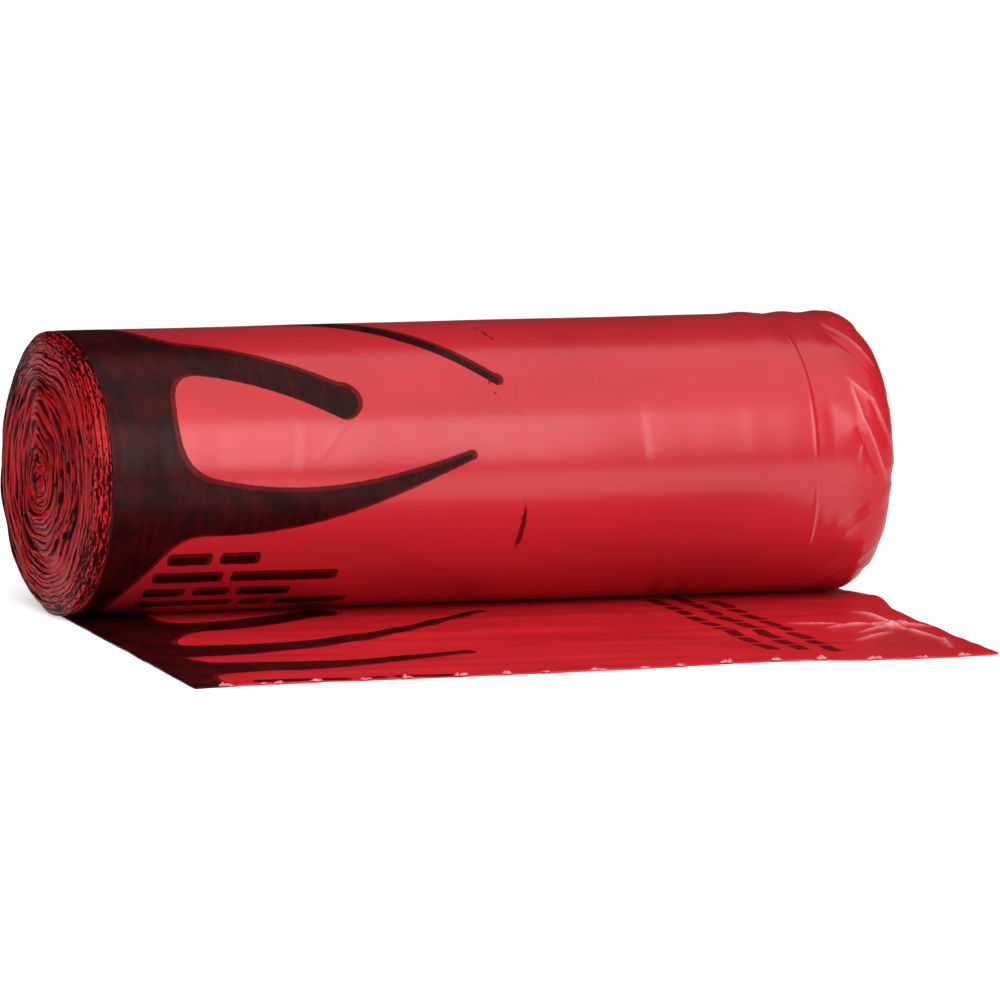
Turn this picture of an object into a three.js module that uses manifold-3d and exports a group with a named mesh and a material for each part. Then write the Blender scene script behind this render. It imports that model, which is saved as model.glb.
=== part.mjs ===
// A coreless roll of red film bags. The bags are one long web: flat tubes of thin film, joined
// end to end at tear lines, folded lengthwise to a narrow band and wound up without a core. The
// roll lies on a level surface, and the loose end of the web is drawn out flat in front of it.
//
// Millimetres. +X runs along the roll, from its neat folded end to its soft end, -Y points from
// the roll to the torn edge of the loose end, and +Z is up. The roll is first made with its
// lowest line along y = 0, z = 0, and the finished group is then centred on its own footprint.

import * as THREE from "three";
import { mergeVertices } from "three/addons/utils/BufferGeometryUtils.js";
import Module from "manifold-3d";

const wasm = await Module();
wasm.setup();

// The folded web
const webWidth = 254;
const webThickness = 0.6;

// The wound roll, whose outermost turn starts at the lowest line and runs up the back
const rollRadius = 42.3;
const sides = 36; // equal facets once round the roll, which lies on one of them

// The neat end, on the left: the outer turns step back, and the inner ones stand out
const neatEdgeRound = 4.5;
const neatCrown = 3.7;
const neatTurnPitch = 4.2;
const neatGrooveWidth = 1.5;
const neatGrooveDepth = 1.6;

// The soft end, on the right: a rounded shoulder round a shallow dish
const softShoulder = 11;
const softDish = 6;
const softTurnPitch = 5.6;
const softGrooveWidth = 2;
const softGrooveDepth = 1.8;

// The flattened fold that the winding started from, at the middle of both ends
const eyeRadius = 3;
const eyeNarrowing = 0.55; // how much narrower than tall the innermost turn is
const eyeFade = 9; // the distance from the eye over which the turns become round

// The loose end, seen from above
const neatEdgeReach = 139; // from the lowest line of the roll to the torn edge, at the left corner
const softEdgeReach = 130; // and at the right corner
const tornEdgeDrift = -5; // the left corner of the torn edge, from the neat end
const softEdgeSetback = 1; // the loose end's right edge, from the soft end, where it leaves the roll

// Turns a closed geometry into a solid that can be joined and cut.
function toSolid(geometry) {
  const bare = geometry.clone();
  bare.deleteAttribute("normal");
  bare.deleteAttribute("uv");
  const merged = mergeVertices(bare, 1e-4);
  return new wasm.Manifold(
    new wasm.Mesh({
      numProp: 3,
      vertProperties: merged.attributes.position.array,
      triVerts: new Uint32Array(merged.index.array),
    }),
  );
}

function toGeometry(solid) {
  const mesh = solid.getMesh();
  const geometry = new THREE.BufferGeometry();
  geometry.setAttribute(
    "position",
    new THREE.BufferAttribute(new Float32Array(mesh.vertProperties), 3),
  );
  geometry.setIndex(new THREE.BufferAttribute(new Uint32Array(mesh.triVerts), 1));
  geometry.computeVertexNormals();
  return geometry;
}

const facetAngle = (2 * Math.PI) / sides;
const cornerRadius = rollRadius / Math.cos(facetAngle / 2);

// The point of a turn at that angle and radius. Angle 0 is the lowest line, a quarter turn is
// the back, half a turn the top and three quarters the front, as the web runs inwards.
function turnPoint(angle, radius, narrowing = 1) {
  return {
    y: radius * Math.sin(angle) * narrowing,
    z: rollRadius - radius * Math.cos(angle),
  };
}

// The outline across the roll: one turn of a spiral that closes by the thickness of the web, so
// that its last corner lies on the loose end, and then drops through it to the surface.
function rollOutline() {
  const corners = [];
  for (let i = 0; i < sides; i++) {
    corners.push(turnPoint((i + 0.5) * facetAngle, cornerRadius - (webThickness * i) / (sides - 1)));
  }
  const nip = corners[sides - 1];
  return new THREE.Shape([...corners, { y: nip.y, z: 0 }].map((p) => new THREE.Vector2(p.y, p.z)));
}

// How far along the roll each end's face lies at that radius.
function neatFace(radius) {
  const flatRadius = rollRadius - neatEdgeRound;
  if (radius <= flatRadius) return -neatCrown * (1 - (radius / flatRadius) ** 2);
  const past = Math.min(radius - flatRadius, neatEdgeRound);
  return neatEdgeRound - Math.sqrt(neatEdgeRound ** 2 - past ** 2);
}

function softFace(radius) {
  const flatRadius = rollRadius - softShoulder;
  if (radius <= flatRadius) return webWidth - softDish * (1 - (radius / flatRadius) ** 2);
  const past = Math.min(radius - flatRadius, softShoulder);
  return webWidth - softShoulder + Math.sqrt(softShoulder ** 2 - past ** 2);
}

// The radii at which a face is sampled: a few over its flat middle, more round its edge.
function faceRadii(edgeRound) {
  const flatRadius = rollRadius - edgeRound;
  const flatSteps = 3;
  const roundSteps = 3;
  const radii = [];
  for (let i = 0; i <= flatSteps; i++) radii.push((flatRadius * i) / flatSteps);
  for (let i = 1; i <= roundSteps; i++) {
    radii.push(flatRadius + edgeRound * Math.sin((Math.PI / 2) * (i / roundSteps)));
  }
  return radii;
}

// A turned body a hair wider than the roll, whose two ends have the roll's rounded edges.
function endEnvelope() {
  const slack = 0.2;
  const widen = (cornerRadius + slack) / rollRadius;
  const profile = [
    ...faceRadii(neatEdgeRound).map((r) => new THREE.Vector2(r * widen, neatFace(r))),
    ...faceRadii(softShoulder)
      .reverse()
      .map((r) => new THREE.Vector2(r * widen, softFace(r))),
  ];
  const turned = new THREE.LatheGeometry(profile, sides, facetAngle / 2);
  const alongX = new THREE.Matrix4().makeBasis(
    new THREE.Vector3(0, 1, 0),
    new THREE.Vector3(1, 0, 0),
    new THREE.Vector3(0, 0, -1),
  );
  turned.applyMatrix4(alongX.setPosition(0, 0, rollRadius));
  return toSolid(turned);
}

// A closed body through a row of three-sided rings.
function loftTriangles(rings) {
  const positions = rings.flat().flatMap((p) => [p.x, p.y, p.z]);
  const index = [0, 2, 1];
  for (let i = 0; i + 1 < rings.length; i++) {
    for (let k = 0; k < 3; k++) {
      const a = 3 * i + k;
      const b = 3 * i + ((k + 1) % 3);
      index.push(a, b, b + 3, a, b + 3, a + 3);
    }
  }
  const last = 3 * (rings.length - 1);
  index.push(last, last + 1, last + 2);
  const geometry = new THREE.BufferGeometry();
  geometry.setAttribute("position", new THREE.Float32BufferAttribute(positions, 3));
  geometry.setIndex(index);
  return geometry;
}

// The V-shaped gap between one turn and the next, as a body to cut from an end. It spirals in
// from the outer radius to the eye. Outwards is -1 for the neat end and 1 for the soft one.
function turnGroove({ face, outwards, pitch, width, depth, outerRadius }) {
  const lift = 1; // how far the cutting body stands out of the face
  const halfWidth = ((width / 2) * (depth + lift)) / depth;
  const stepsPerTurn = 22;
  const turns = (outerRadius - eyeRadius) / pitch;
  const steps = Math.round(turns * stepsPerTurn);
  const rings = [];
  for (let i = 0; i <= steps; i++) {
    const angle = (i / stepsPerTurn) * 2 * Math.PI;
    const radius = outerRadius - (pitch * angle) / (2 * Math.PI);
    const narrowing = 1 - eyeNarrowing * Math.exp((eyeRadius - radius) / eyeFade);
    const at = (x, r) => ({ x, ...turnPoint(angle, r, narrowing) });
    const outside = face(radius) + outwards * lift;
    const bottom = face(radius) - outwards * depth;
    const edges = [at(outside, radius - halfWidth), at(outside, radius + halfWidth)];
    if (outwards < 0) edges.reverse();
    rings.push([...edges, at(bottom, radius)]);
  }
  return toSolid(loftTriangles(rings));
}

function woundRoll() {
  const overrun = 10; // past both ends, where the envelope trims it
  const along = new THREE.ExtrudeGeometry(rollOutline(), {
    depth: webWidth + 2 * overrun,
    bevelEnabled: false,
  });
  const alongX = new THREE.Matrix4().makeBasis(
    new THREE.Vector3(0, 1, 0),
    new THREE.Vector3(0, 0, 1),
    new THREE.Vector3(1, 0, 0),
  );
  along.applyMatrix4(alongX.setPosition(-overrun, 0, 0));
  const neatGroove = turnGroove({
    face: neatFace,
    outwards: -1,
    pitch: neatTurnPitch,
    width: neatGrooveWidth,
    depth: neatGrooveDepth,
    outerRadius: rollRadius - neatEdgeRound / 2,
  });
  const softGroove = turnGroove({
    face: softFace,
    outwards: 1,
    pitch: softTurnPitch,
    width: softGrooveWidth,
    depth: softGrooveDepth,
    outerRadius: rollRadius - softShoulder / 2,
  });
  return toSolid(along).intersect(endEnvelope()).subtract(neatGroove).subtract(softGroove);
}

// The flat loose end, from under the roll's lowest line to the torn edge.
function looseEnd() {
  const plan = new THREE.Shape();
  plan.moveTo(neatEdgeRound, 0);
  plan.lineTo(tornEdgeDrift, -neatEdgeReach);
  plan.lineTo(tornEdgeDrift + webWidth, -softEdgeReach);
  plan.lineTo(webWidth - softEdgeSetback, 0);
  const sheet = new THREE.ExtrudeGeometry(plan, { depth: webThickness, bevelEnabled: false });
  return toSolid(sheet);
}

const redFilm = new THREE.MeshStandardMaterial({ color: 0xb3141b, roughness: 0.34, metalness: 0 });

const bagRoll = new THREE.Mesh(toGeometry(woundRoll().add(looseEnd())), redFilm);
bagRoll.name = "bag_roll";

// The origin is the centre of the footprint, on the surface that the roll lies on.
const footprint = new THREE.Box3().setFromObject(bagRoll);
const footprintCentre = footprint.getCenter(new THREE.Vector3());
bagRoll.position.set(-footprintCentre.x, -footprintCentre.y, -footprint.min.z);

const roll = new THREE.Group();
roll.add(bagRoll);

export default roll;
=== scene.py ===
import math

import bmesh
import bpy
import numpy as np
from mathutils import Matrix, Vector


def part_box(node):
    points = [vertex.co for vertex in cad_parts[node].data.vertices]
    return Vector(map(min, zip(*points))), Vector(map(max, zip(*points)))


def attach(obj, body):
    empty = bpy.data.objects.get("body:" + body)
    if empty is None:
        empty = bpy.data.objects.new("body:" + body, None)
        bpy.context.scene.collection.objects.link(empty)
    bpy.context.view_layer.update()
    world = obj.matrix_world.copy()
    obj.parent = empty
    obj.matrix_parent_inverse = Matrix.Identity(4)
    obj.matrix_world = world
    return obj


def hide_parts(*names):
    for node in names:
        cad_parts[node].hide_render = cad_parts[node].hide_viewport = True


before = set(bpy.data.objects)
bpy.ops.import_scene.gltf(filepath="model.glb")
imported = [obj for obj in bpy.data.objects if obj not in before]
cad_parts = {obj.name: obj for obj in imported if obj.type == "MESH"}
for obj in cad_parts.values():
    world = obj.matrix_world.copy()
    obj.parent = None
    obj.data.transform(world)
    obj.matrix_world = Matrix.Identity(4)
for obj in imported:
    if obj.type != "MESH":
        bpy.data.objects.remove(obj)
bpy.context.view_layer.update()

# A coreless roll of red film bags on its side, with the loose end of the web flat in front.
# Lengths are metres: a value in millimetres is written as a number times mm.
mm = 0.001

lowest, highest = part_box("bag_roll")
web = dict(
    width=254 * mm,                 # of the folded web, and so the length of the roll
    radius=42.3 * mm,               # of the outermost turn
    thickness=0.6 * mm,             # of all the plies, with the air between them
    leftEnd=lowest.x + 5 * mm,      # the plane of the neat end
    axisY=highest.y - 42.2 * mm,    # the roll's axis, seen from above
    loose=131 * mm,                 # from the roll's lowest line to the torn edge, in the middle
)


# Shapes

def onRoll(along, radius, angle):
    # (leftEnd + along, axisY + radius sin(angle), rollRadius - radius cos(angle)):
    # angle 0 is the lowest line, a quarter turn is the back, and three quarters the front
    return np.stack(np.broadcast_arrays(
        web["leftEnd"] + along,
        web["axisY"] + radius * np.sin(angle),
        web["radius"] - radius * np.cos(angle)), axis=-1)


def softNoise(points, size, seed, stretch=(1, 1, 1), count=28):
    # sum of cosines: sqrt(2 / n) * sum over n of cos(k . p + phase), with |k| near 2 pi / size
    rng = np.random.default_rng(seed)
    way = rng.normal(size=(count, 3))
    way /= np.linalg.norm(way, axis=1)[:, None]
    way *= 2 * np.pi / size * rng.uniform(0.6, 1.5, count)[:, None] / np.array(stretch)
    phase = rng.uniform(0, 2 * np.pi, count)
    total = np.zeros(points.shape[:-1])
    for k in range(count):
        total += np.cos(points @ way[k] + phase[k])
    return total * math.sqrt(2 / count)


def smoothStep(low, high, value):
    # 3 t^2 - 2 t^3, with t going from 0 at low to 1 at high
    t = np.clip((value - low) / (high - low), 0, 1)
    return t * t * (3 - 2 * t)


def crowded(low, high, count, density):
    # places from low to high in equal steps of the integral of density, so closer where it is high
    fine = np.linspace(low, high, 4000)
    weight = density(fine)
    run = np.concatenate([[0], np.cumsum(0.5 * (weight[1:] + weight[:-1]))])
    return np.interp(np.linspace(0, run[-1], count), run, fine)


def segmentDistance(a, b, start, end):
    # distance from (a, b) to the segment, and how far along it the nearest point is, from 0 to 1
    da, db = end[0] - start[0], end[1] - start[1]
    share = np.clip(((a - start[0]) * da + (b - start[1]) * db) / (da * da + db * db), 0, 1)
    return np.hypot(a - start[0] - share * da, b - start[1] - share * db), share


def creases(a, b, lines):
    # sum over lines of height * sin(pi (0.15 + 0.7 share)) * exp(-distance / width), all in mm
    total = np.zeros(np.broadcast(a, b).shape)
    for start, end, height, width in lines:
        distance, share = segmentDistance(a / mm, b / mm, start, end)
        total += height * mm * np.sin(np.pi * (0.15 + 0.7 * share)) * np.exp(-distance / width)
    return total


def glintCrests(a, b, lines, least, width):
    # painted highlight: pale glints where sharp folds are at least so high: the same sum, with heights
    # of 0.8
    sharp = [(start, end, 0.8 / mm, width) for start, end, height, _ in lines if height >= least]
    return np.clip(creases(a, b, sharp), 0, 1)


def addMesh(name, points, faces, material, smooth=True):
    # points in any shape of (..., 3), and faces as a list of rows of their numbers
    mesh = bpy.data.meshes.new(name)
    mesh.from_pydata(points.reshape(-1, 3), [], faces)
    mesh.polygons.foreach_set("use_smooth", np.full(len(mesh.polygons), smooth))
    mesh.materials.append(material)
    mesh.update()
    piece = bpy.data.objects.new(name, mesh)
    bpy.context.scene.collection.objects.link(piece)
    return piece


def gridFaces(rows, columns, wrap=False, first=0):
    # quads (i, j), (i+1, j), (i+1, j+1), (i, j+1) over a rows by columns grid of vertices
    i, j = np.meshgrid(np.arange(rows - 1), np.arange(columns if wrap else columns - 1), indexing="ij")
    nextJ = (j + 1) % columns
    corners = [i * columns + j, (i + 1) * columns + j, (i + 1) * columns + nextJ, i * columns + nextJ]
    return first + np.stack(corners, axis=-1).reshape(-1, 4)


def turnedFaces(rows, columns):
    # a grid that closes on itself along its columns, with a fan from a pole at each end
    ring = np.arange(columns)
    after = (ring + 1) % columns
    firstPole, lastPole = rows * columns, rows * columns + 1
    fanA = np.stack([np.full(columns, firstPole), ring, after], axis=-1)
    last = (rows - 1) * columns
    fanB = np.stack([np.full(columns, lastPole), last + after, last + ring], axis=-1)
    return gridFaces(rows, columns, wrap=True).tolist() + fanA.tolist() + fanB.tolist()


def addTurned(name, rings, material):
    # rings has the shape (rows, columns, 3); each pole is the mean of its end ring
    poles = np.stack([rings[0].mean(axis=0), rings[-1].mean(axis=0)])
    points = np.concatenate([rings.reshape(-1, 3), poles])
    return addMesh(name, points, turnedFaces(*rings.shape[:2]), material)


def addSlab(name, top, bottom, material):
    # two grids of the same shape, one above the other, with a rim of quads round their edges
    rows, columns = top.shape[:2]
    count = rows * columns
    upper = gridFaces(rows, columns)
    lower = gridFaces(rows, columns, first=count)[:, ::-1]
    index = np.arange(count).reshape(rows, columns)
    edge = np.concatenate([index[0], index[1:, -1], index[-1, -2::-1], index[-2:0:-1, 0]])
    after = np.roll(edge, -1)
    rim = np.stack([edge, after, after + count, edge + count], axis=-1)
    points = np.concatenate([top.reshape(-1, 3), bottom.reshape(-1, 3)])
    return addMesh(name, points, np.concatenate([upper, lower, rim]).tolist(), material)


def faceOut(piece):
    # turns every face of a closed shell to look outwards
    shell = bmesh.new()
    shell.from_mesh(piece.data)
    bmesh.ops.recalc_face_normals(shell, faces=shell.faces)
    shell.to_mesh(piece.data)
    shell.free()


def writeAttribute(piece, name, values):
    layer = piece.data.attributes.new(name, "FLOAT", "POINT")
    layer.data.foreach_set("value", values.astype(np.float32).ravel())


def writeUv(piece, across, along):
    # one UV per vertex, in metres of film: across the web and along it
    mesh = piece.data
    corner = np.empty(len(mesh.loops), np.int32)
    mesh.loops.foreach_get("vertex_index", corner)
    uv = np.stack([across, along], axis=-1)[corner]
    mesh.uv_layers.new(name="film").data.foreach_set("uv", uv.astype(np.float32).ravel())


def finishPiece(piece, closed=True):
    if closed:
        faceOut(piece)
    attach(piece, "root")
    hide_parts("bag_roll")
    return piece


# The print: plain crests and bars along the folded edge, in the plane of the unrolled web.
# u is the distance from the neat end, and w the distance from the torn edge, along the web.

pattern = dict(
    repeat=188 * mm,
    start=262 * mm,               # where one repeat starts, near the top of the roll
    edgeBand=20 * mm,             # the dark band along the folded edge
    edgeSwing=9 * mm,             # how far that band's edge swings once in a repeat
    edgeFlutter=3 * mm,           # and three times as often
    fillet=9 * mm,                # how far from a corner two shapes melt together
    crests=(                      # root w, tip u, tip w, half widths, bow
        (-14 * mm, 128 * mm, 36 * mm, 12 * mm, 2.4 * mm, -15 * mm),
        (24 * mm, 78 * mm, 42 * mm, 9 * mm, 6.5 * mm, -6 * mm),
        (66 * mm, 117 * mm, 60 * mm, 13 * mm, 1.7 * mm, 11 * mm),
        (140 * mm, 99 * mm, 152 * mm, 10 * mm, 3.0 * mm, -6 * mm),
    ),
    barRows=(                     # w of the row, then where each of its bars starts and ends, in mm
        (91, (24, 38), (40.5, 53)),
        (98.5, (21, 43), (45.5, 79)),
        (106, (20, 33), (35.5, 47), (49.5, 66)),
        (113.5, (20, 50), (52.5, 61), (63.5, 86)),
    ),
    barHalf=2.3 * mm,
    beneath=(0.6 * mm, -0.5 * mm, 0.9 * mm),   # how far off and how much thinner it is beneath
    limit=8 * mm,                 # the distance from an edge past which the attributes stay level
)


def melted(a, b, reach):
    # min(a, b) - (reach - |a - b|)^2 / (4 reach), where the two are nearer than reach
    near = np.maximum(reach - np.abs(a - b), 0)
    return np.minimum(a, b) - near ** 2 / (4 * reach)


def barEdge(u, w, centre, halfLong, halfWide, tilt=0.0, corner=1.2 * mm):
    # signed distance to a rounded bar whose length lies along u, turned by tilt
    c, s = math.cos(tilt), math.sin(tilt)
    a = np.abs((u - centre[0]) * c + (w - centre[1]) * s) - halfLong + corner
    b = np.abs((w - centre[1]) * c - (u - centre[0]) * s) - halfWide + corner
    outside = np.hypot(np.maximum(a, 0), np.maximum(b, 0))
    return outside + np.minimum(np.maximum(a, b), 0) - corner


def crestEdge(u, w, rootW, tipU, tipW, rootHalf, tipHalf, bow):
    # distance to a bowed centre line less a half width that narrows towards a round tip
    t = np.clip(u / tipU, 0, 1)
    centre = rootW + (tipW - rootW) * t ** 1.4 + bow * np.sin(np.pi * t)
    half = tipHalf + (rootHalf - tipHalf) * (1 - t) ** 1.2
    return np.hypot(np.maximum(u - tipU, 0), w - centre) - half


def printEdge(u, w):
    # signed distance to the edge of the ink, below 0 inside: the least of all its shapes
    phase = 2 * np.pi * (w - pattern["start"]) / pattern["repeat"]
    edge = u - pattern["edgeBand"] - pattern["edgeSwing"] * np.sin(phase)
    edge = edge - pattern["edgeFlutter"] * np.sin(3 * phase)
    for turn in (-2, -1, 0):
        v = w - pattern["start"] - turn * pattern["repeat"]
        for rootW, tipU, tipW, rootHalf, tipHalf, bow in pattern["crests"]:
            crest = crestEdge(u, v, rootW, tipU, tipW, rootHalf, tipHalf, bow)
            edge = melted(edge, crest, pattern["fillet"])
        for row, *bars in pattern["barRows"]:
            for start, end in bars:
                middle, half = 0.5 * (start + end) * mm, 0.5 * (end - start) * mm
                edge = np.minimum(edge, barEdge(u, v, (middle, row * mm), half, pattern["barHalf"]))
    return edge


lineBlock = dict(
    rows=(188 * mm, 197 * mm, 206 * mm), half=2.2 * mm, lean=0.1,
    start=16 * mm, end=112 * mm, gap=2.0 * mm,
)


def lineBlockEdge(u, w):
    # three broken lines that run along the web on the loose end, as signed distance
    rng = np.random.default_rng(5)
    edge = np.full(u.shape, 1.0)
    for row in lineBlock["rows"]:
        reach = lineBlock["start"] + rng.uniform(0, 8 * mm)
        while reach < lineBlock["end"]:
            half = rng.uniform(3 * mm, 7 * mm)
            lean = lineBlock["lean"] * (web["loose"] - reach)
            bar = barEdge(w, u, (reach + half, row + 0.2 * lean), half, lineBlock["half"], -0.1)
            edge = np.minimum(edge, bar)
            reach += 2 * half + lineBlock["gap"]
    return edge


smears = (                        # points and half widths of ink dragged along the web
    (((133.4, 296), (133.6, 331), (134.2, 343), (133.6, 350)), (0.08, 0.15, 0.75, 0.9)),
    (((134.9, 300), (135.0, 332), (134.6, 344)), (0.06, 0.15, 0.6)),
    (((133.6, 350), (132.6, 356)), (0.3, 0.12)),
    (((129.0, 269), (131.2, 277), (133.4, 284)), (0.1, 0.5, 0.12)),
    (((124.8, 297), (126.6, 303), (129.0, 306)), (0.1, 0.25, 0.1)),
    (((98.0, 277), (104.5, 281)), (0.08, 0.3)),
    (((142.0, 333), (142.4, 333.4)), (0.22, 0.22)),
    (((86.0, 301), (86.3, 301)), (0.25, 0.25)),
    (((69.0, 323), (69.3, 323.2)), (0.22, 0.22)),
    (((152.0, 352), (152.3, 352.2)), (0.2, 0.2)),
)


def smearEdge(u, w):
    # least over the strokes of distance to the segment less the half width along it
    edge = np.full(u.shape, 1.0)
    for points, halves in smears:
        for k in range(len(points) - 1):
            start = (points[k][0] * mm, points[k][1] * mm)
            end = (points[k + 1][0] * mm, points[k + 1][1] * mm)
            distance, share = segmentDistance(u, w, start, end)
            half = halves[k] + (halves[k + 1] - halves[k]) * share
            edge = np.minimum(edge, distance - half * mm)
    return edge


def writePrint(piece, u, w, glintShare):
    # ink on the outer ply, the same print on the ply beneath, a little off, and the painted highlight
    # of pale glints along sharp folds
    writeUv(piece, u, w)
    writeAttribute(piece, "paintedCreaseGlints", glintShare)
    outer = np.minimum(printEdge(u, w), smearEdge(u, w))
    onLooseEnd = w < web["loose"]
    outer = np.where(onLooseEnd, np.minimum(outer, lineBlockEdge(u, w)), outer)
    offU, offW, thinner = pattern["beneath"]
    beneath = printEdge(u + offU, w + offW) + thinner
    limit = pattern["limit"]
    writeAttribute(piece, "inkOuter", np.clip(outer, -limit, limit) / mm)
    writeAttribute(piece, "inkBeneath", np.clip(beneath, -limit, limit) / mm)


# Finishes

def addNode(tree, kind, inputs=(), **settings):
    node = tree.nodes.new(kind)
    for key, value in settings.items():
        setattr(node, key, value)
    for key, value in dict(inputs).items():
        if isinstance(value, bpy.types.NodeSocket):
            tree.links.new(value, node.inputs[key])
        else:
            node.inputs[key].default_value = value
    return node


def maths(tree, operation, a, b=0.0):
    return addNode(tree, "ShaderNodeMath", {0: a, 1: b}, operation=operation).outputs[0]


def ramp(tree, value, low, high, toLow=0.0, toHigh=1.0):
    inputs = {"Value": value, "From Min": low, "From Max": high, "To Min": toLow, "To Max": toHigh}
    return addNode(tree, "ShaderNodeMapRange", inputs, interpolation_type="SMOOTHSTEP").outputs[0]


def blendColour(tree, share, a, b):
    # a where share is 0 and b where it is 1; sockets 6, 7 and 2 are the colour ones
    return addNode(tree, "ShaderNodeMix", {0: share, 6: a, 7: b}, data_type="RGBA").outputs[2]


def noise(tree, place, scale, detail=3.0, rough=0.55, stretch=(1, 1, 1)):
    spread = addNode(tree, "ShaderNodeMapping", {"Vector": place, "Scale": stretch}).outputs[0]
    inputs = {"Vector": spread, "Scale": scale, "Detail": detail, "Roughness": rough}
    return addNode(tree, "ShaderNodeTexNoise", inputs).outputs["Fac"]


def newMaterial(name):
    material = bpy.data.materials.new(name)
    material.use_nodes = True
    tree = material.node_tree
    tree.nodes.clear()
    surface = addNode(tree, "ShaderNodeBsdfPrincipled")
    addNode(tree, "ShaderNodeOutputMaterial", {"Surface": surface.outputs[0]})
    return material, tree, surface


film = dict(
    red=(0.445, 0.0130, 0.0215, 1),
    deepRed=(0.385, 0.0105, 0.0170, 1),
    thinRedLitByFloor=(0.55, 0.0150, 0.0240, 1),     # painted light: lighter, for the pale floor's light showing back through a single ply
    thinDeepRedLitByFloor=(0.47, 0.0120, 0.0190, 1),
    ink=(0.0080, 0.0007, 0.0009, 1),
    inkThin=(0.060, 0.0018, 0.0028, 1),
    edgeRed=(0.52, 0.0080, 0.0130, 1),
    edgeDeep=(0.26, 0.0036, 0.0060, 1),
    # painted shade: the near black painted into the gaps between turns and plies, and on some turns at
    # random
    gap=(0.010, 0.0006, 0.0009, 1),
    creaseGlint=(0.80, 0.42, 0.44, 1),       # painted highlight: the pale glints along sharp creases
    tiePale=(0.62, 0.20, 0.23, 1),
    tieRed=(0.46, 0.04, 0.055, 1),
    roughness=0.42,
    specular=0.06,
    edgeSpecular=0.03,
    coat=0.85,                             # on the roll, the loose end, the ink, and the folded edges
    thinCoat=0.30,
    coatOnInk=0.09,
    edgeCoat=0.14,
    edgeCoatOnInk=0.01,
    shoulderCoat=0.28,                     # how much of the coat is left on the crumpled shoulder
    shoulderStart=236 * mm,                # where it starts to fade, and where it has faded
    shoulderEnd=250 * mm,
    coatRoughness=0.22,
)


def printedFilm(name, red, deepRed, coat):
    # red film whose ink sits on two plies: thin where one carries it, near black where both do
    material, tree, surface = newMaterial(name)
    place = addNode(tree, "ShaderNodeTexCoord").outputs["Object"]
    onFilm = addNode(tree, "ShaderNodeUVMap", uv_map="film").outputs[0]
    ragged = noise(tree, onFilm, 900, 2)
    wobble = maths(tree, "MULTIPLY", maths(tree, "SUBTRACT", ragged, 0.5), 0.55)
    masks = []
    for layer, soft in (("inkOuter", 0.12), ("inkBeneath", 0.32)):
        edge = addNode(tree, "ShaderNodeAttribute", attribute_name=layer).outputs["Fac"]
        masks.append(ramp(tree, maths(tree, "ADD", edge, wobble), -soft, soft, 1.0, 0.0))
    blotch = noise(tree, onFilm, 85, 5, 0.65)
    streak = noise(tree, onFilm, 60, 4, 0.6, (9, 1, 1))
    streak = maths(tree, "MULTIPLY", streak, 0.3)
    cover = maths(tree, "ADD", maths(tree, "MULTIPLY", blotch, 0.7), streak)
    outerInk = maths(tree, "MULTIPLY", masks[0], ramp(tree, cover, 0.30, 0.62, 0.80, 0.95))
    beneathInk = maths(tree, "MULTIPLY", masks[1], ramp(tree, cover, 0.34, 0.66, 0.70, 0.97))
    tone = noise(tree, onFilm, 14, 3, 0.5, (1, 2, 1))
    base = blendColour(tree, ramp(tree, tone, 0.35, 0.7), red, deepRed)
    pinholes = maths(tree, "MULTIPLY", ramp(tree, noise(tree, onFilm, 1500, 1), 0.70, 0.76), 0.35)
    outerInk = maths(tree, "MULTIPLY", outerInk, maths(tree, "SUBTRACT", 1.0, pinholes))
    colour = blendColour(tree, outerInk, base, film["inkThin"])
    colour = blendColour(tree, beneathInk, colour, film["ink"])
    # painted highlight: pale glints along the sharp folds, mixed in over the print
    creaseGlint = addNode(tree, "ShaderNodeAttribute", attribute_name="paintedCreaseGlints").outputs["Fac"]
    creaseGlint = maths(tree, "MULTIPLY", creaseGlint, ramp(tree, cover, 0.35, 0.55, 0.4, 1.0))
    colour = blendColour(tree, creaseGlint, colour, film["creaseGlint"])
    tree.links.new(colour, surface.inputs["Base Color"])
    cloudy = noise(tree, place, 55, 4)
    uneven = ramp(tree, cloudy, 0.3, 0.7, film["roughness"] - 0.05, film["roughness"] + 0.07)
    tree.links.new(uneven, surface.inputs["Roughness"])
    inked = maths(tree, "MAXIMUM", outerInk, beneathInk)
    across = addNode(tree, "ShaderNodeSeparateXYZ", {"Vector": onFilm}).outputs[0]
    calm = ramp(tree, across, film["shoulderStart"], film["shoulderEnd"], 1.0, film["shoulderCoat"])
    gloss = maths(tree, "MULTIPLY", ramp(tree, inked, 0.0, 0.8, coat, film["coatOnInk"]), calm)
    tree.links.new(gloss, surface.inputs["Coat Weight"])
    surface.inputs["Coat Roughness"].default_value = film["coatRoughness"]
    surface.inputs["Specular IOR Level"].default_value = film["specular"]
    drawn = noise(tree, onFilm, 90, 3, 0.5, (6, 1, 1))
    grain = noise(tree, place, 700, 2)
    grain = maths(tree, "MULTIPLY", grain, 0.12)
    height = maths(tree, "ADD", maths(tree, "MULTIPLY", drawn, 0.8), grain)
    bump = addNode(tree, "ShaderNodeBump", {"Height": height, "Strength": 0.35, "Distance": 0.0002})
    tree.links.new(bump.outputs[0], surface.inputs["Normal"])
    return material


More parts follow.
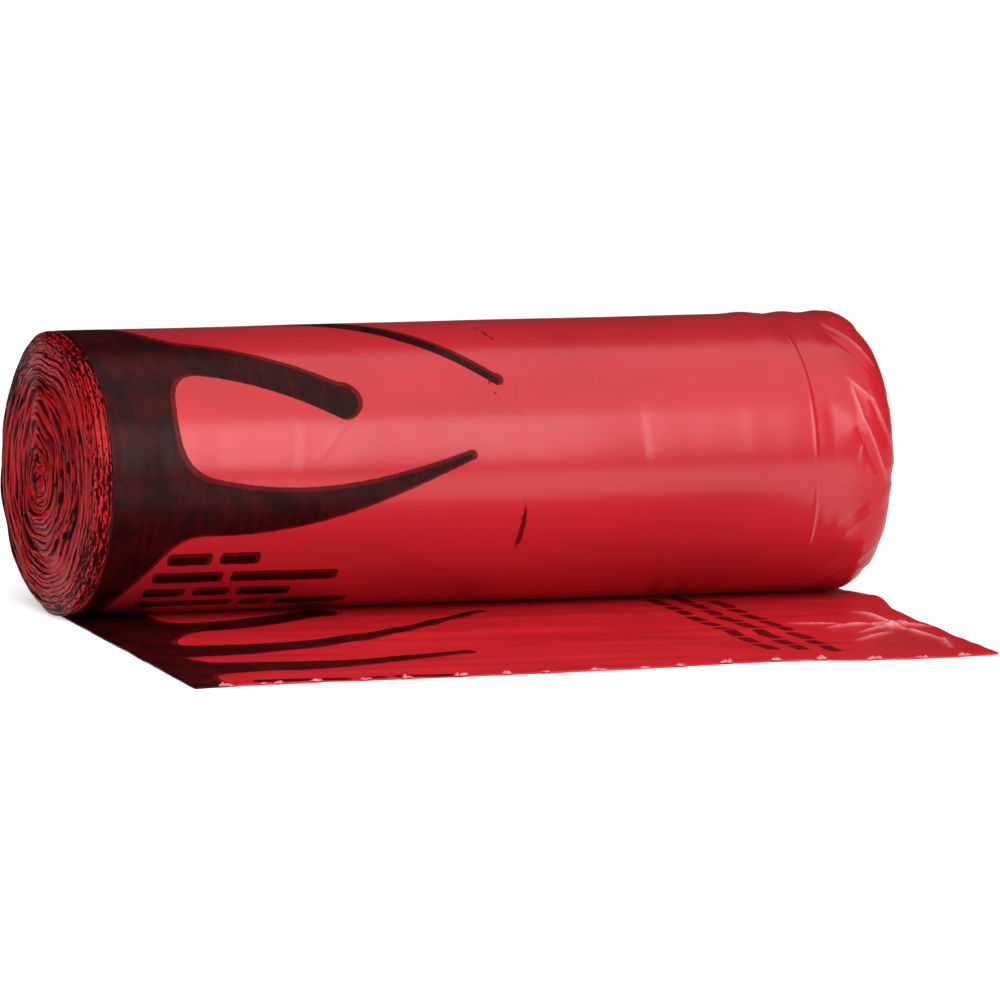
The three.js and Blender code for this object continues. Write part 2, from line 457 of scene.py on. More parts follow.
def foldedEdges():
    # the same film seen on its folds: the crowns keep the lighter red, painted shade darkens the gaps
    # between turns and plies, some turns are darker at random, and ink dashes it
    material, tree, surface = newMaterial("foldedRedEdges")
    onFilm = addNode(tree, "ShaderNodeUVMap", uv_map="film").outputs[0]
    # painted shade: darker towards the near black in the gaps between turns and plies
    depth = addNode(tree, "ShaderNodeAttribute", attribute_name="gapShadeAndTone").outputs["Fac"]
    dashes = addNode(tree, "ShaderNodeAttribute", attribute_name="inkDashes").outputs["Fac"]
    plies = noise(tree, onFilm, 260, 4, 0.6, (1, 9, 1))
    base = blendColour(tree, ramp(tree, plies, 0.34, 0.66), film["edgeDeep"], film["edgeRed"])
    shaded = blendColour(tree, ramp(tree, depth, 0.1, 0.9), base, film["gap"])
    uneven = noise(tree, onFilm, 420, 3, 0.6, (1, 3, 1))
    ragged = maths(tree, "MULTIPLY", maths(tree, "SUBTRACT", uneven, 0.5), 2.4)
    ink = ramp(tree, maths(tree, "ADD", dashes, ragged), -0.15, 0.15)
    colour = blendColour(tree, maths(tree, "MULTIPLY", ink, 0.93), shaded, film["ink"])
    tree.links.new(colour, surface.inputs["Base Color"])
    surface.inputs["Roughness"].default_value = film["roughness"]
    surface.inputs["Specular IOR Level"].default_value = film["edgeSpecular"]
    gloss = ramp(tree, ink, 0.0, 1.0, film["edgeCoat"], film["edgeCoatOnInk"])
    tree.links.new(gloss, surface.inputs["Coat Weight"])
    surface.inputs["Coat Roughness"].default_value = film["coatRoughness"]
    height = noise(tree, onFilm, 500, 3, 0.6, (1, 5, 1))
    bump = addNode(tree, "ShaderNodeBump", {"Height": height, "Strength": 0.5, "Distance": 0.0003})
    tree.links.new(bump.outputs[0], surface.inputs["Normal"])
    return material


def stretchedFilm():
    # film pulled thin until it turned pale, as on the ties of a tear line
    material, tree, surface = newMaterial("stretchedPaleFilm")
    place = addNode(tree, "ShaderNodeTexCoord").outputs["Object"]
    share = ramp(tree, noise(tree, place, 900, 3), 0.35, 0.7)
    colour = blendColour(tree, share, film["tiePale"], film["tieRed"])
    tree.links.new(colour, surface.inputs["Base Color"])
    surface.inputs["Roughness"].default_value = 0.35
    return material


printed = printedFilm("printedRedFilm", film["red"], film["deepRed"], film["coat"])
# the loose end's copy of the film, its reds painted lighter for the floor's light showing through one
# ply
thinLitByFloor = printedFilm("thinPrintedFilmLitByFloor", film["thinRedLitByFloor"], film["thinDeepRedLitByFloor"], film["thinCoat"])
folded = foldedEdges()
stretchedPale = stretchedFilm()
print("finishes made")


# The outer turn, from under the front of the roll, over the top and down the back

skin = dict(
    around=280,
    shoulder=9.5 * mm,            # the rounding of the soft end
    nip=math.radians(5.5),        # the sliver of the turn that the loose end hides
    slack=0.07 * mm,              # long soft waves, and the short ones on them
    fineSlack=0.012 * mm,
    edgeAt=227.2 * mm,            # the edge of a ply beneath, which shows as a ring near the soft end
    edgeStep=0.34 * mm,
    edgeRing=0.26 * mm,
    crumple=0.13 * mm,            # of the last stretch before the soft end
    corner=0.8 * mm,              # how far the upper corner of that end bulges
    fullness=1.0 * mm,            # how far the loose plies push its shoulder out
    pleatShare=0.3,
)

skinFolds = (                     # (x, w) start, (x, w) end in mm, height, width: ridges on the skin
    ((69.1, 322.0), (81.4, 307.5), 0.14, 0.35),
    ((60.0, 345.0), (66.0, 305.0), 0.08, 0.7),
    ((57.5, 345.0), (62.5, 309.0), -0.08, 0.7),
    ((172.6, 296.0), (173.6, 320.0), 0.06, 0.5),
    ((171.5, 300.0), (172.5, 330.0), -0.05, 0.5),
    ((236.0, 268.0), (243.5, 284.0), -0.50, 1.5),
    ((240.8, 276.0), (249.5, 296.0), 0.60, 0.6),
    ((238.5, 279.0), (247.5, 299.0), -0.55, 1.2),
    ((240.0, 301.0), (247.0, 309.0), 0.75, 0.45),
    ((246.5, 308.0), (251.0, 322.0), 0.60, 0.45),
    ((240.7, 303.0), (243.0, 316.0), 0.65, 0.4),
    ((243.0, 315.0), (249.5, 333.0), 0.85, 0.5),
    ((241.0, 318.0), (247.0, 332.0), -0.60, 1.0),
    ((245.0, 304.0), (248.5, 318.0), -0.55, 0.9),
    ((239.5, 334.0), (243.5, 318.0), 0.30, 0.7),
    ((236.5, 353.0), (249.0, 341.0), 0.45, 0.8),
    ((236.0, 349.0), (247.0, 337.0), -0.35, 1.3),
    ((238.0, 372.0), (250.0, 356.0), 0.50, 1.0),
    ((235.0, 366.0), (247.0, 351.0), -0.35, 1.4),
)

# place along the roll, height and width, all in mm
skinWaves = ((13, 0.10, 3.0), (21, -0.12, 2.6), (28.5, 0.12, 3.2), (38, -0.07, 3.0))
skinSteps = ((173.2, 0.12, 1.2), (63.0, 0.10, 1.4), (205.0, 0.08, 2.0), (30.0, 0.09, 1.0))
topBumps = ((220, 0.55, 4.0), (234, 0.75, 3.6), (227, -0.2, 2.0))


def skinProfile():
    # (along, radius) of the outer turn: up from inside the left end, level, and over the shoulder
    last = web["width"] - skin["shoulder"]
    turn = np.linspace(0, np.pi / 2, 42)[1:]
    left = [(14, 12), (12, 30), (8, 38), (5.4, 41.2), (4.5, 41.7), (4.2, 42.0), (4.35, 42.25)]
    left = np.array(left) * mm
    level = np.concatenate([np.linspace(5 * mm, 0.85 * web["width"], 190),
                            np.linspace(0.85 * web["width"], last, 92)[1:]])
    shoulderX = last + skin["shoulder"] * np.sin(turn)
    shoulderR = web["radius"] - skin["shoulder"] * (1 - np.cos(turn))
    tuckX = web["width"] - np.array([0.6, 2.0, 5.0, 9.0, 12.0]) * mm
    tuckR = web["radius"] - np.array([11.8, 12.6, 13.2, 20.0, 30.0]) * mm
    along = np.concatenate([left[:, 0], level, shoulderX, tuckX])
    radius = np.concatenate([left[:, 1], np.full(len(level), web["radius"]), shoulderR, tuckR])
    return along, radius


def pleats(along, arc, seed=31, count=22):
    # sum over the folds of height * grow * (exp(-2 |offset| / width)
    # - 0.9 exp(-((offset - 1.4 width) / width)^2)): a ridge with a valley beside it, each leaning
    rng = np.random.default_rng(seed)
    around = 2 * np.pi * web["radius"]
    total = np.zeros(np.broadcast(along, arc).shape)
    for k in range(count):
        place = (k + rng.uniform(-0.4, 0.4)) / count * around
        start = web["width"] - rng.uniform(12, 27) * mm
        lean = rng.normal(0, 0.8)
        width = rng.uniform(1.6, 4.2) * mm
        height = rng.uniform(0.25, 1.0) * mm
        offset = (arc - place - lean * (along - start) + around / 2) % around - around / 2
        grow = smoothStep(start, web["width"] - 2 * mm, along)
        total += height * grow * (np.exp(-np.abs(offset) / (0.5 * width))
                                  - 0.9 * np.exp(-((offset - 1.4 * width) / width) ** 2))
    return total


def skinRelief(along, angle):
    # how far the film stands off the plain turn: the sum of slow noise, of steps and rings across
    # the roll, of the folds listed above, of pleats and of the fullness near the soft end
    arc = web["radius"] * angle
    w = web["loose"] + arc
    around = onRoll(along, web["radius"], angle)
    slack = skin["slack"] * softNoise(around, 75 * mm, 3, (1, 2, 2))
    slack = slack + skin["fineSlack"] * softNoise(around, 16 * mm, 4, (1, 5, 5))
    frontOnly = smoothStep(195, 225, np.degrees(angle)) * smoothStep(340, 300, np.degrees(angle))
    crease = along - skin["edgeAt"] - 0.02 * (w - 320 * mm) - 0.25 * mm * np.sin(w / (9 * mm))
    step = skin["edgeStep"] * smoothStep(0.5 * mm, -0.5 * mm, crease)
    ring = skin["edgeRing"] * np.exp(-(crease / (0.5 * mm)) ** 2)
    ring = ring - 0.10 * mm * np.exp(-((crease - 5.5 * mm) / (2.2 * mm)) ** 2)
    for place, height, width in skinWaves:
        slack = slack + height * mm * np.exp(-((along - place * mm) / (width * mm)) ** 2) * frontOnly
    low = smoothStep(150, 190, np.degrees(angle)) * smoothStep(345, 290, np.degrees(angle))
    rings = (step - skin["edgeStep"] + ring) * low
    for place, height, width in skinSteps:
        rings = rings + height * mm * np.tanh((along - place * mm) / (width * mm)) * frontOnly * 0.5
    top = np.radians(184)
    for place, height, width in topBumps:
        bump = np.exp(-((along - place * mm) / (width * mm)) ** 2)
        rings = rings + height * mm * bump * np.exp(-((angle - top) / 0.5) ** 2)
    folds = creases(along, w, skinFolds)
    soft = smoothStep(222 * mm, 246 * mm, along)
    crumple = skin["crumple"] * softNoise(around, 15 * mm, 8) * soft
    corner = skin["corner"] * np.exp(-((along - 247 * mm) / (5 * mm)) ** 2)
    corner = corner * np.exp(-((angle - 3.25) / 0.3) ** 2)
    full = skin["fullness"] * smoothStep(240 * mm, 252 * mm, along) * smoothStep(0.4, 1.6, angle)
    return slack + rings + folds + skin["pleatShare"] * pleats(along, arc) + crumple + corner + full


def endDrift(angle):
    # how far the turns stand out over the top and the back of the neat end, in mm:
    # -1.8 exp(-((angle - 3.05) / 0.6)^2) - 0.9 exp(-((angle - 1.5) / 0.7)^2)
    overTop = 1.8 * np.exp(-((angle - 3.05) / 0.6) ** 2)
    atBack = 0.9 * np.exp(-((angle - 1.5) / 0.7) ** 2)
    return -mm * (overTop + atBack)


def makeSkin():
    # radius = profile - thickness * angle / (2 pi) + relief, so that the turn closes as a spiral;
    # over the soft end the relief pushes more along the roll than outwards
    along, radius = skinProfile()
    angle = crowded(0, 2 * np.pi - skin["nip"], skin["around"],
                    lambda angle: 1 + 2.2 * np.exp(-((angle - 4.45) / 0.85) ** 2))
    alongGrid, angleGrid = np.meshgrid(along, angle, indexing="ij")
    radiusGrid = radius[:, None] - web["thickness"] * angleGrid / (2 * np.pi)
    onShow = smoothStep(4.2 * mm, 7 * mm, alongGrid) * (radius[:, None] > 29.6 * mm)
    toNip = 2 * np.pi - skin["nip"] - angleGrid
    underneath = smoothStep(0.05, 0.4, angleGrid) * smoothStep(0.02, 0.25, toNip)
    relief = skinRelief(alongGrid, angleGrid) * onShow * underneath
    overEnd = smoothStep(web["width"] - skin["shoulder"], web["width"], alongGrid)
    drift = endDrift(angleGrid) * smoothStep(34 * mm, 6 * mm, alongGrid)
    outwards = radiusGrid + relief * (1 - 0.6 * overEnd)
    rings = onRoll(alongGrid + drift + relief * overEnd, outwards, angleGrid)
    piece = addTurned("outer_turn", rings, printed)
    run = np.concatenate([[0], np.cumsum(np.hypot(np.diff(along), np.diff(radius)))])
    run += along[7] - run[7]
    u = np.concatenate([np.repeat(run, skin["around"]), [run[0], run[-1]]])
    w = np.concatenate([np.tile(web["loose"] + web["radius"] * angle, len(along)), [web["loose"]] * 2])
    # painted highlight: pale glints along the sharpest folds of the skin
    glintShare = 0.45 * glintCrests(alongGrid, web["loose"] + web["radius"] * angleGrid, skinFolds, 0.6, 0.3)
    writePrint(piece, u, w, np.concatenate([glintShare.ravel(), [0, 0]]))
    return finishPiece(piece)


outerTurn = makeSkin()
print("outer turn made:", len(outerTurn.data.polygons), "faces")


# The wound ends: one ply edge after another, spiralling in to the flattened middle

neatEnd = dict(
    name="neat_end_turns", side=-1, around=340, across=280,
    rim=41.75 * mm, edgeRound=4.5 * mm, crown=3.7 * mm, dish=0.0,
    pitch=1.6 * mm, ridge=1.0 * mm, proud=0.45 * mm, calmRim=0.45, fullness=0.9 * mm,
    squeeze=0.60, squeezeFade=10 * mm, peak=0.16, sway=0.30 * mm, centreSway=2.0 * mm, swaySize=19 * mm,
    inkRim=-0.15, inkMiddle=-1.15, inkEye=0.0, seed=60,
)
softEnd = dict(
    name="soft_end_turns", side=1, around=300, across=230,
    rim=31.0 * mm, edgeRound=1.0 * mm, crown=0.0, dish=6 * mm,
    pitch=2.2 * mm, ridge=1.5 * mm, proud=0.8 * mm, calmRim=1.0, fullness=0.0,
    squeeze=0.5, squeezeFade=9 * mm, peak=0.1, sway=0.9 * mm, centreSway=1.9 * mm, swaySize=20 * mm,
    inkRim=-2.2, inkMiddle=-2.2, inkEye=-2.2, seed=90,
)


def endProfile(end):
    # (radius, out) at equal steps along the face: crown - dish times 1 - share^2, then a quarter round
    flat = end["rim"] - end["edgeRound"]
    share = np.linspace(0.008, 1, 400)
    turn = np.linspace(0, np.pi / 2, 120)[1:]
    radius = np.concatenate([flat * share, flat + end["edgeRound"] * np.sin(turn)])
    out = np.concatenate([(end["crown"] - end["dish"]) * (1 - share ** 2),
                          -end["edgeRound"] * (1 - np.cos(turn))])
    run = np.concatenate([[0], np.cumsum(np.hypot(np.diff(radius), np.diff(out)))]) + radius[0]
    even = np.linspace(run[0], run[-1], end["across"])
    return even, np.interp(even, run, radius), np.interp(even, run, out)


def alongPly(ply, length, size, seed, count=18):
    # smooth noise of the place along the winding, with another phase for each ply of a turn
    rng = np.random.default_rng(seed)
    total = np.zeros(length.shape)
    for k in range(count):
        wave = 2 * np.pi / size * rng.uniform(0.5, 1.8)
        total += np.cos(wave * length + rng.uniform(0, 6.28) + ply * rng.uniform(1.0, 5.0))
    return total * math.sqrt(2 / count)


def makeEnd(end):
    # turn number P = run / pitch + angle / (2 pi), and height over the face =
    # ridge * (1 - (1 - 2.6 gap)^1.5) with gap = 1 - |2 frac(P) - 1|, and smaller ridges for its plies
    run, radius, out = endProfile(end)
    angle = np.linspace(0, 2 * np.pi, end["around"], endpoint=False)
    runGrid, angleGrid = np.meshgrid(run, angle, indexing="ij")
    radiusGrid, outGrid = radius[:, None] + 0 * angleGrid, out[:, None] + 0 * angleGrid
    turn = runGrid / end["pitch"] + angleGrid / (2 * np.pi)
    part = turn - np.floor(turn)
    filmRun = end["pitch"] * (np.floor(turn) + 0.5 - angleGrid / (2 * np.pi))
    length = np.pi * (run[-1] ** 2 - np.abs(filmRun) * filmRun) / end["pitch"]
    ply = np.floor(part * 3)
    acrossPly = np.abs(np.sin(3 * np.pi * part))

    plain = [0 * radiusGrid, radiusGrid * np.sin(angleGrid), radiusGrid * np.cos(angleGrid)]
    plain = np.stack(plain, axis=-1)
    fromTop = (angleGrid - np.pi + 0.25) / 0.34
    peaked = end["peak"] * np.exp(-fromTop ** 2) * smoothStep(0, 6 * mm, radiusGrid)
    peaked = peaked * smoothStep(32 * mm, 14 * mm, radiusGrid)
    squeeze = 1 - end["squeeze"] * np.exp(-radiusGrid / end["squeezeFade"])
    inside = np.exp(-radiusGrid / (11 * mm))
    amount = end["sway"] + (end["centreSway"] - end["sway"]) * inside
    amount = amount * smoothStep(0, 4 * mm, radiusGrid)
    amount = amount * smoothStep(end["rim"], end["rim"] - 5 * mm, radiusGrid)
    sway = amount * softNoise(plain, end["swaySize"], end["seed"])
    sway += 0.55 * amount * inside * softNoise(plain, 0.4 * end["swaySize"], end["seed"] + 1)
    swayed = radiusGrid * (1 + peaked) + sway

    calm = end["calmRim"] + (1 - end["calmRim"]) * smoothStep(36 * mm, 26 * mm, radiusGrid)
    gap = 1 - np.abs(2 * part - 1)
    gape = np.clip(0.66 + 0.34 * alongPly(0, length, 38 * mm, end["seed"] + 2), 0.2, 1.25)
    ridge = end["ridge"] * gape * (1 - np.clip(1 - 2.6 * gap, 0, 1) ** 1.5)
    plies = 0.30 * end["ridge"] * acrossPly ** 0.6
    stand = end["proud"] * alongPly(0, length, 75 * mm, end["seed"] + 3) * np.sin(np.pi * part) ** 0.5
    lift = 0.10 * mm * alongPly(ply, length, 22 * mm, end["seed"] + 4) * acrossPly ** 0.5
    eye = 1.8 * mm * np.exp(-(radiusGrid / (3.2 * mm)) ** 2)
    crumpled = softNoise(plain, 6 * mm, end["seed"] + 9, (1, 1, 2.5))
    eye = eye + 1.0 * mm * crumpled * np.exp(-(radiusGrid / (9 * mm)) ** 2)
    edge = smoothStep(run[-1], run[-1] - 0.8 * mm, runGrid)
    wideEdge = smoothStep(run[-1], run[-1] - 4 * mm, runGrid)
    height = (ridge + plies + stand + lift - 0.85 * end["ridge"]) * calm * edge - eye
    height = height + end["fullness"] * smoothStep(27 * mm, 37 * mm, radiusGrid) * wideEdge

    tilt = np.arctan2(-np.gradient(out, run), np.gradient(radius, run))[:, None]
    spread = np.minimum(swayed + height * np.sin(tilt), end["rim"] + 0.2 * mm)
    endPlane = 0 if end["side"] < 0 else web["width"]
    along = endPlane + end["side"] * (outGrid + height * np.cos(tilt))
    if end["side"] < 0:
        along = along + endDrift(angleGrid) * smoothStep(16 * mm, 38 * mm, radiusGrid)
    front = np.stack([
        web["leftEnd"] + along,
        web["axisY"] + spread * squeeze * np.sin(angleGrid),
        web["radius"] - spread * np.cos(angleGrid)], axis=-1)
    backRadius = np.array([end["rim"] - 0.6 * mm, end["rim"] - 6 * mm, 8 * mm])
    backDepth = np.array([3.0, 7.0, 8.0]) * mm + (end["edgeRound"] if end["side"] < 0 else end["dish"])
    back = onRoll((endPlane - end["side"] * backDepth)[:, None], backRadius[:, None], angle[None, :])
    piece = addTurned(end["name"], np.concatenate([front, back]), folded)

    # painted shade: the gaps between turns and between plies are darkened, more where they gape, and
    # tone darkens some turns at random
    tone = smoothStep(0.0, 1.4, alongPly(0, length, 130 * mm, end["seed"] + 8))
    depth = np.clip(1.12 - 2.1 * gap, 0, 1) * np.clip(0.4 + gape, 0, 1)
    depth = np.maximum(depth, 0.36 * (1 - acrossPly ** 0.5) + 0.40 * tone)
    patch = softNoise(plain, 24 * mm, end["seed"] + 5)
    dash = alongPly(ply, length, 13 * mm, end["seed"] + 6)
    speck = alongPly(ply, length, 3.6 * mm, end["seed"] + 7)
    nearRim = smoothStep(33 * mm, 38 * mm, radiusGrid)
    nearEye = smoothStep(13 * mm, 6 * mm, radiusGrid)
    bias = end["inkMiddle"] + (end["inkRim"] - end["inkMiddle"]) * nearRim
    bias = bias + (end["inkEye"] - end["inkMiddle"]) * nearEye
    ink = bias + 0.55 * patch + (1 - 0.5 * nearRim) * dash + 0.7 * nearRim * speck
    ink = ink - 0.8 * (1 - acrossPly ** 0.5)
    if end["side"] < 0:
        nearTop = np.exp(-((angleGrid - 3.1) / 0.8) ** 2)
        ink = ink + 0.75 * nearTop * smoothStep(24 * mm, 34 * mm, radiusGrid)
        longDash = np.exp(-((angleGrid - 4.85) / 0.45) ** 4 - ((filmRun - 28.3 * mm) / (0.9 * mm)) ** 2)
        ink = ink + 2.2 * longDash
    tail = np.zeros(len(backRadius) * end["around"] + 2)
    writeAttribute(piece, "gapShadeAndTone", np.concatenate([depth.ravel(), tail]))
    writeAttribute(piece, "inkDashes", np.concatenate([ink.ravel(), tail - 1]))
    acrossTurn = (part * end["pitch"]).ravel()
    writeUv(piece, np.concatenate([length.ravel(), tail]), np.concatenate([acrossTurn, tail]))
    return finishPiece(piece)


neatTurns = makeEnd(neatEnd)
softTurns = makeEnd(softEnd)
print("wound ends made:", len(neatTurns.data.polygons), "and", len(softTurns.data.polygons), "faces")


# The loose end: the web drawn out flat, with its torn edge towards the viewer

loose = dict(
    columns=300, rows=156,
    leftTorn=(-5.0 * mm, -138.6 * mm),     # corners, from the neat end and from the roll's lowest line
    rightTorn=(249.0 * mm, -129.0 * mm),
    leftRoot=3.6 * mm, rightRoot=252.6 * mm,
    under=3.0 * mm,                        # how far it runs on behind the lowest line
    thickness=0.5 * mm,
    tiePitch=14.6 * mm,
    ripple=0.16 * mm,                      # cross ripples, long waves, and the crumpled right corner
    wave=0.10 * mm,
    crumple=0.10 * mm,
    tooth=0.22 * mm,                       # of the torn edge
    toothPitch=2.4 * mm,
)

tornWander = (                    # (u, how far the torn edge lies in front of a straight line), mm
    (0, 0.0), (22, -1.6), (41, -2.6), (60, -1.6), (100, -1.4), (135, -0.6), (155, -3.0),
    (170, -4.4), (194, -4.4), (211, 0.0), (229, 1.8), (248, 0.4), (254, 0.0),
)

looseFolds = (                             # (u, y) start, (u, y) end, height, width, all in mm
    ((240.3, -46.4), (247.0, -72.0), 1.1, 0.6),
    ((222.0, -73.0), (246.5, -70.0), 1.2, 0.9),
    ((228.0, -84.0), (247.0, -72.0), 1.1, 0.8),
    ((221.6, -97.4), (237.0, -86.0), 1.0, 0.8),
    ((236.0, -74.5), (245.0, -76.5), 1.6, 1.3),
    ((236.1, -71.2), (246.0, -84.0), -0.7, 1.0),
    ((243.0, -76.0), (247.5, -100.0), 1.0, 0.6),
    ((247.0, -72.0), (252.5, -79.0), 1.0, 0.8),
    ((214.0, -62.0), (230.0, -66.0), 0.6, 0.8),
    ((249.0, -98.0), (243.0, -118.0), 0.8, 0.7),
    ((233.0, -22.0), (247.0, -30.0), 0.4, 0.9),
    ((7.5, -4.0), (5.0, -40.0), 0.75, 0.4),
    ((11.5, -4.0), (8.5, -36.0), 0.65, 0.4),
    ((15.5, -4.0), (12.5, -31.0), 0.55, 0.4),
    ((19.5, -4.0), (17.5, -22.0), 0.40, 0.4),
)


def tornEdge(u):
    # a straight line between the corners, wandering through tornWander, with small teeth
    places, wander = np.array(tornWander).T * mm
    share = u / web["width"]
    line = loose["leftTorn"][1] + (loose["rightTorn"][1] - loose["leftTorn"][1]) * share
    teeth = loose["tooth"] * np.abs(np.sin(np.pi * u / loose["toothPitch"])) ** 0.6
    return line - np.interp(u, places, wander) + teeth


def looseRelief(u, y):
    # height of the top ply: noise drawn out across the web, the folds, and two lifts of the right
    # edge as exp(-((y - place) / width)^2), all fading out towards the roll
    away = smoothStep(-8 * mm, -30 * mm, y)
    flat = np.stack([u, y, 0 * u], axis=-1)
    ripple = loose["ripple"] * softNoise(flat, 12 * mm, 14, (7, 1, 1))
    ripple = ripple + loose["wave"] * softNoise(flat, 30 * mm, 15)
    right = smoothStep(200 * mm, 250 * mm, u)
    left = smoothStep(24 * mm, 0, u)
    lifts = 1.1 * np.exp(-((y + 26 * mm) / (17 * mm)) ** 2) * smoothStep(236 * mm, 254 * mm, u)
    lifts = lifts + 0.5 * np.exp(-((y + 74 * mm) / (9 * mm)) ** 2) * smoothStep(244 * mm, 254 * mm, u)
    crumple = loose["crumple"] * softNoise(flat, 13 * mm, 17) * right
    folds = creases(u, y, looseFolds)
    near = smoothStep(-4 * mm, -9 * mm, y)
    return (ripple + crumple) * away * (1 - 0.6 * left) + lifts * mm * near + folds * near


def makeLooseEnd():
    # the point (share, reach) runs from the left edge to the right one and from under the roll to
    # the torn edge: x between the two slanting sides, z = thickness + relief
    columns = crowded(0, 1, loose["columns"], lambda share: 1 + 1.8 * smoothStep(0.82, 0.9, share))
    rows = crowded(0, 1, loose["rows"], lambda reach: 1 + 0.8 * np.exp(-((reach - 0.53) / 0.22) ** 2))
    share, reach = np.meshgrid(columns, rows, indexing="ij")
    u = share * web["width"]
    front = tornEdge(u)
    y = loose["under"] + (front - loose["under"]) * reach
    rootX = loose["leftRoot"] + (loose["rightRoot"] - loose["leftRoot"]) * share
    tornX = loose["leftTorn"][0] + (loose["rightTorn"][0] - loose["leftTorn"][0]) * share
    down = np.clip(-y / (135 * mm), 0, 1)
    x = rootX + (tornX - rootX) * down
    bulge = 3.0 * mm * np.exp(-((y + 26 * mm) / (14 * mm)) ** 2) * smoothStep(0.85, 1.0, share)
    x = x + bulge
    relief = looseRelief(u, y)
    top = web["thickness"] + np.maximum(relief, -0.25 * mm)
    bottom = np.maximum(top - loose["thickness"], 0.02 * mm)
    upper = np.stack([web["leftEnd"] + x, web["axisY"] + y, top], axis=-1)
    lower = np.stack([web["leftEnd"] + x, web["axisY"] + y, bottom], axis=-1)
    piece = addSlab("loose_end", upper, lower, thinLitByFloor)
    w = web["loose"] + y
    # painted highlight: pale glints along the sharp folds of the crumpled right corner
    glintShare = np.where(u > 205 * mm, glintCrests(u, y, looseFolds, 0.6, 0.55), 0)
    writePrint(piece, np.tile(u.ravel(), 2), np.tile(w.ravel(), 2), np.tile(glintShare.ravel(), 2))
    finishPiece(piece)
    return piece


looseEnd = makeLooseEnd()
print("loose end made:", len(looseEnd.data.polygons), "faces")


# The torn ties: film that stretched pale at each bridge of the tear line before it parted

ties = dict(columns=9, rows=6, width=3.4 * mm, depth=2.2 * mm, height=0.9 * mm, strands=2)


def makeTies():
    # each tie is a crumpled scrap over (across, out), height * cos(pi across)
    # * sin(pi (out + 0.75))^0.8 above the web, with a ragged share
    rng = np.random.default_rng(77)
    places = np.arange(9 * mm, web["width"] - 4 * mm, loose["tiePitch"])
    count = len(places) * ties["strands"]
    centre = np.repeat(places, ties["strands"]) + rng.normal(0, 1.1 * mm, count)
    across = np.linspace(-0.5, 0.5, ties["columns"])[None, :, None]
    out = np.linspace(-0.75, 0.25, ties["rows"])[None, None, :]
    width = ties["width"] * rng.uniform(0.45, 1.1, count)[:, None, None]
    depth = ties["depth"] * rng.uniform(0.5, 1.1, count)[:, None, None]
    height = ties["height"] * rng.uniform(0.35, 1.1, count)[:, None, None]
    lean = rng.normal(0, 0.5, count)[:, None, None]
    ragged = rng.normal(0, 0.16, (count, ties["columns"], ties["rows"]))
    u = centre[:, None, None] + width * across + lean * depth * out + ragged * 0.4 * mm
    narrow = 1 - 0.7 * np.abs(2 * across) ** 2
    y = tornEdge(np.clip(u, 0, web["width"])) + depth * out * narrow + ragged * 0.5 * mm
    hump = np.cos(np.pi * across) * np.sin(np.pi * (out + 0.75)) ** 0.8
    z = web["thickness"] + 0.1 * mm + height * (hump + 0.5 * ragged * hump)
    share = u / web["width"]
    x = loose["leftTorn"][0] + (loose["rightTorn"][0] - loose["leftTorn"][0]) * share
    points = np.stack([web["leftEnd"] + x, web["axisY"] + y, z], axis=-1)
    size = ties["columns"] * ties["rows"]
    scraps = [gridFaces(ties["columns"], ties["rows"], first=k * size) for k in range(count)]
    faces = np.concatenate(scraps)
    piece = addMesh("torn_ties", points, faces.tolist(), stretchedPale)
    wall = piece.modifiers.new("film", "SOLIDIFY")
    wall.thickness = 0.09 * mm
    wall.offset = 0
    return finishPiece(piece, closed=False)


tornTies = makeTies()
print("torn ties made")


# Floor, lights and camera

studio = dict(
    floorSize=14.0,
    floorColour=(0.93, 0.93, 0.93, 1),
    floorGlow=0.5,
    world=0.05,
    lights=(                      # name, place, what it faces, size and watts
        ("front_softbox", (-0.30, -1.35, 0.80), (0, 0, 0.04), (2.2, 1.15), 34),
        ("top_softbox", (0.0, -0.55, 1.7), (0, -0.55, 0), (3.0, 2.4), 27),
        ("far_floor_light", (0.65, 2.3, 0.9), (0.65, 2.3, 0), (1.6, 2.4), 12),
    ),
    farSpread=math.radians(70),   # the last of them lights only the floor behind
    target=Vector((127 * mm, 0, 45 * mm)),    # from the neat end, the lowest line and the floor
    bearing=21.71, height=8.0, roll=1.51,     # of the camera's look, in degrees
    distance=4.017,
    focal=13.513,                 # the lens, as image widths
    picture=1000,                 # the picture's side, and the place on it where the target is seen
    centre=(452.655, 452.897),
)


def makeFloor():
    half = studio["floorSize"] / 2
    corners = np.array([(-half, -half, 0), (half, -half, 0), (half, half, 0), (-half, half, 0)])
    material, tree, surface = newMaterial("paleFloor")
    surface.inputs["Base Color"].default_value = studio["floorColour"]
    surface.inputs["Roughness"].default_value = 0.9
    surface.inputs["Specular IOR Level"].default_value = 0.1
    surface.inputs["Emission Color"].default_value = (1, 1, 1, 1)
    surface.inputs["Emission Strength"].default_value = studio["floorGlow"]
    floor = addMesh("floor", corners, [(0, 1, 2, 3)], material, smooth=False)


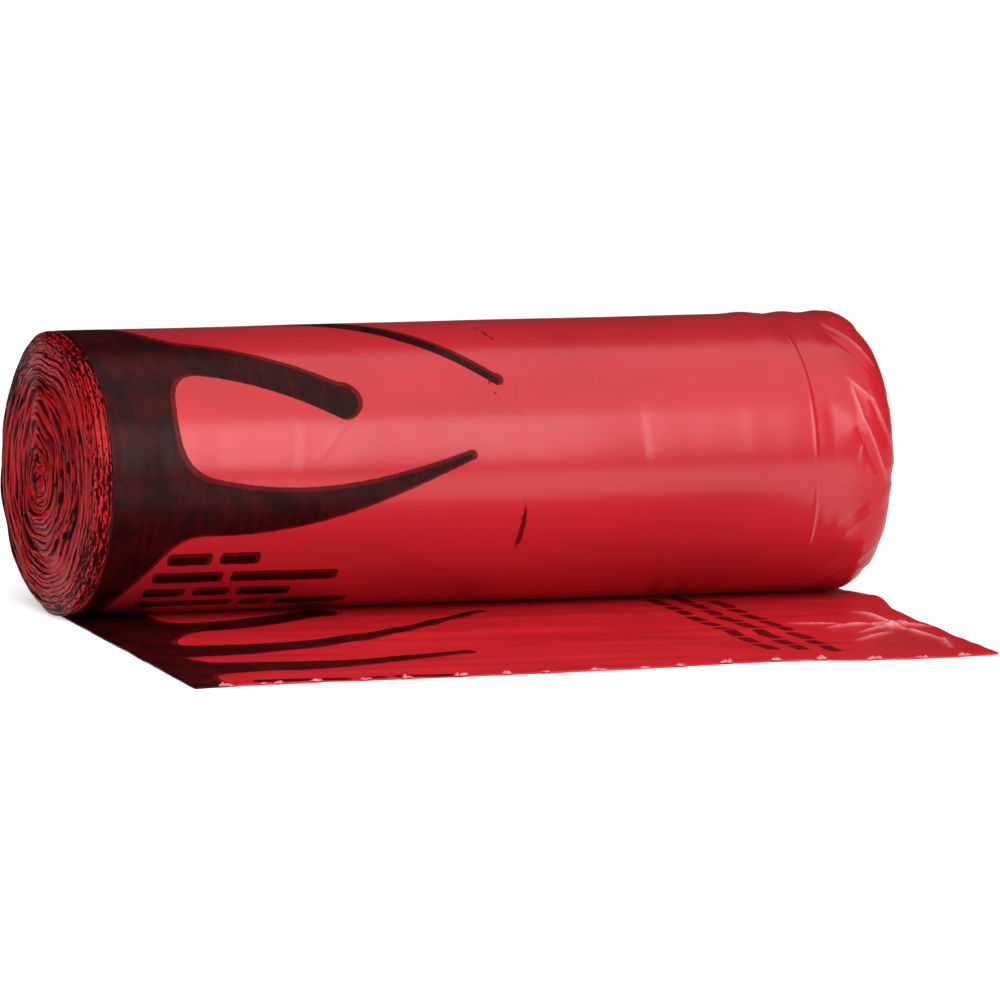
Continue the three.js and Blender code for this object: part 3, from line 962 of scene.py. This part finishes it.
def makeLight(name, place, aim, size, power):
    light = bpy.data.lights.new(name, "AREA")
    light.shape = "RECTANGLE"
    light.size, light.size_y = size
    light.energy = power
    lamp = bpy.data.objects.new(name, light)
    lamp.location = place
    lamp.rotation_euler = (Vector(aim) - Vector(place)).to_track_quat("-Z", "Y").to_euler()
    bpy.context.scene.collection.objects.link(lamp)
    return light


def makeLights():
    lights = [makeLight(*light) for light in studio["lights"]]
    lights[-1].spread = studio["farSpread"]
    world = bpy.data.worlds.new("studio")
    world.use_nodes = True
    world.node_tree.nodes["Background"].inputs[0].default_value = (1, 1, 1, 1)
    world.node_tree.nodes["Background"].inputs[1].default_value = studio["world"]
    bpy.context.scene.world = world
    bpy.context.scene.view_settings.view_transform = "Standard"


def makeCamera():
    # looks along d = (sin a cos e, cos a cos e, -sin e), then turned by the roll, and aimed so
    # that the target falls on its picture place with no shift of the lens
    a, e, tilt = (math.radians(studio[key]) for key in ("bearing", "height", "roll"))
    look = Vector((math.sin(a) * math.cos(e), math.cos(a) * math.cos(e), -math.sin(e)))
    right = Vector((math.cos(a), -math.sin(a), 0))
    up = right.cross(look)
    c, s = math.cos(tilt), math.sin(tilt)
    right, up = c * right + s * up, c * up - s * right
    target = studio["target"] + Vector((web["leftEnd"], web["axisY"], 0))
    place = target - look * studio["distance"]
    offX, offY = (0.5 - seen / studio["picture"] for seen in studio["centre"])
    aim = (look * studio["focal"] + right * offX - up * offY).normalized()
    right = (right - aim * right.dot(aim)).normalized()
    up = right.cross(aim)
    data = bpy.data.cameras.new("camera")
    data.sensor_width = 36
    data.lens = studio["focal"] * 36
    data.clip_end = 60
    camera = bpy.data.objects.new("camera", data)
    camera.matrix_world = Matrix((
        (right.x, up.x, -aim.x, place.x),
        (right.y, up.y, -aim.y, place.y),
        (right.z, up.z, -aim.z, place.z),
        (0, 0, 0, 1)))
    bpy.context.scene.collection.objects.link(camera)
    bpy.context.scene.camera = camera


makeFloor()
makeLights()
makeCamera()
print("studio made")
